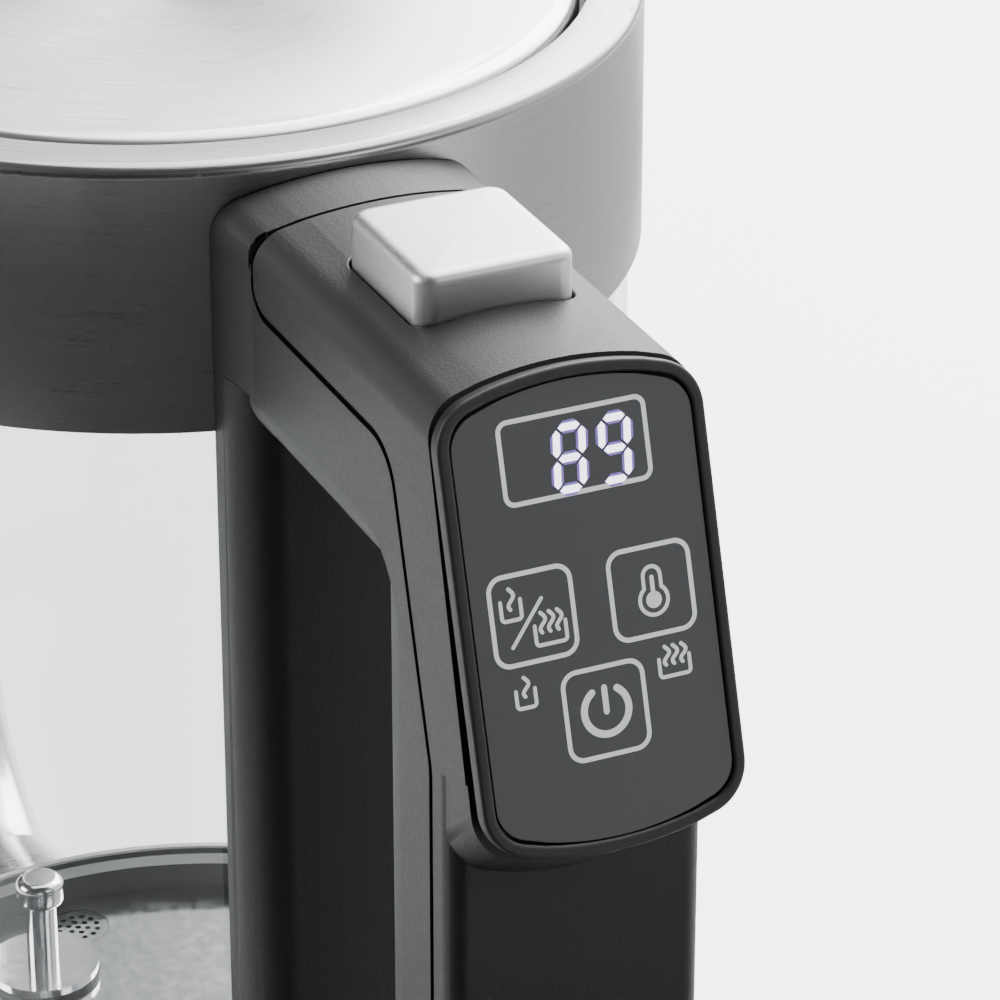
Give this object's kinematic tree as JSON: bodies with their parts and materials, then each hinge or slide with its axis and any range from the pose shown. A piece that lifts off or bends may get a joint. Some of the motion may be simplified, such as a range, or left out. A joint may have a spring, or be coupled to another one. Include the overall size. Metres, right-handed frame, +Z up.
{
  "type": "gooseneck kettle",
  "caption": "Electric glass kettle with brushed steel collar and flush hinged lid, gooseneck spout, black loop handle with touch panel, lid button and cordless power base.",
  "frame": {"origin": "on the jug's axis in the plane of the feet's undersides", "axes": "+Z up, +X from the jug's axis to the handle, -X to the spout, Y across the handle"},
  "size_m": [0.3732, 0.1564, 0.2646],
  "materials": {
    "brushed_steel": "fine brushed",
    "polished_steel": "polished",
    "screw_steel": "plain",
    "element_steel": "heat darkened",
    "aluminium": "cast",
    "brass": "plain",
    "glass": "clear",
    "black_plastic": "fine grained",
    "dark_plastic": "plain",
    "fascia_plastic": "smooth satin film",
    "pale_plastic": "plain",
    "circuit_board": "solder mask",
    "black_rubber": "matt",
    "pale_rubber": "translucent silicone",
    "wire_sleeve": "plain"
  },
  "bodies": {
    "power_base": {"base_shell": "black_plastic", "base_trim_ring": "brushed_steel", "base_floor": "black_plastic", "base_connector": "dark_plastic", "base_contacts": "brass", "base_feet": "black_rubber", "base_screws": "screw_steel", "cord_gland": "black_rubber"},
    "plug": {"jug_connector": "dark_plastic", "jug_contacts": "brass"},
    "jug": {"bottom_cover": "black_plastic", "bottom_screws": "screw_steel", "skirt": "brushed_steel", "seal_carrier": "dark_plastic", "lower_glass_seal": "black_rubber", "heating_plate": "polished_steel", "heat_diffuser": "aluminium", "heating_element": "element_steel", "thermal_cutout": "pale_plastic", "power_board": "circuit_board", "power_relay": "dark_plastic", "temperature_probe": "polished_steel", "probe_washer": "black_rubber", "probe_nut": "brass", "glass_body": "glass", "upper_glass_seal": "pale_rubber", "collar": "brushed_steel", "collar_liner": "black_plastic", "lid_hinge_pin": "polished_steel", "lid_spring": "screw_steel", "spout_flange": "brushed_steel", "spout_bend": "brushed_steel", "spout_neck": "brushed_steel", "spout_tip": "brushed_steel", "spout_outer_gasket": "black_rubber", "spout_nut": "screw_steel", "spout_elbow": "polished_steel", "spout_inner_gasket": "pale_rubber", "spout_strainer": "polished_steel", "handle_inner_shell": "black_plastic", "handle_outer_shell": "black_plastic", "handle_screws": "screw_steel", "panel_bezel": "black_plastic", "panel_fascia": "fascia_plastic", "display_module": "dark_plastic", "touch_pads": "brass", "indicator_lights": "pale_plastic", "control_board": "circuit_board", "board_screws": "screw_steel", "buzzer": "dark_plastic", "wire_harness": "wire_sleeve", "button_spring": "screw_steel", "latch_springs": "screw_steel"},
    "lid": {"lid_cover": "brushed_steel", "lid_body": "black_plastic", "lid_gasket": "pale_rubber", "lid_screws": "screw_steel"},
    "button": {"button_cap": "brushed_steel", "button_core": "dark_plastic"},
    "latch": {"latch_bolt": "dark_plastic"}
  },
  "joints": [
    {"name": "jug_lift", "type": "slide", "parent": "power_base", "child": "plug", "axis": [0, 0, 1], "range_m": [0, 0.06]},
    {"name": "jug_swivel", "type": "hinge", "parent": "plug", "child": "jug", "pos_m": [0, 0, 0.021], "axis": [0, 0, 1], "continuous": true},
    {"name": "lid_hinge", "type": "hinge", "parent": "jug", "child": "lid", "pos_m": [0.053, 0, 0.2576], "axis": [0, 1, 0], "range_deg": [0, 55]},
    {"name": "lid_button", "type": "slide", "parent": "jug", "child": "button", "axis": [0, 0, -1], "range_m": [0, 0.004], "stiffness_N_per_m": 400, "springref_m": -0.004, "deforming": ["button_spring"]},
    {"name": "latch_slide", "type": "slide", "parent": "jug", "child": "latch", "axis": [1, 0, 0], "range_m": [0, 0.004], "deforming": ["latch_springs"]}
  ],
  "couplings": [
    {"joint": "latch_slide", "follows": "lid_button", "ratio": 1}
  ]
}
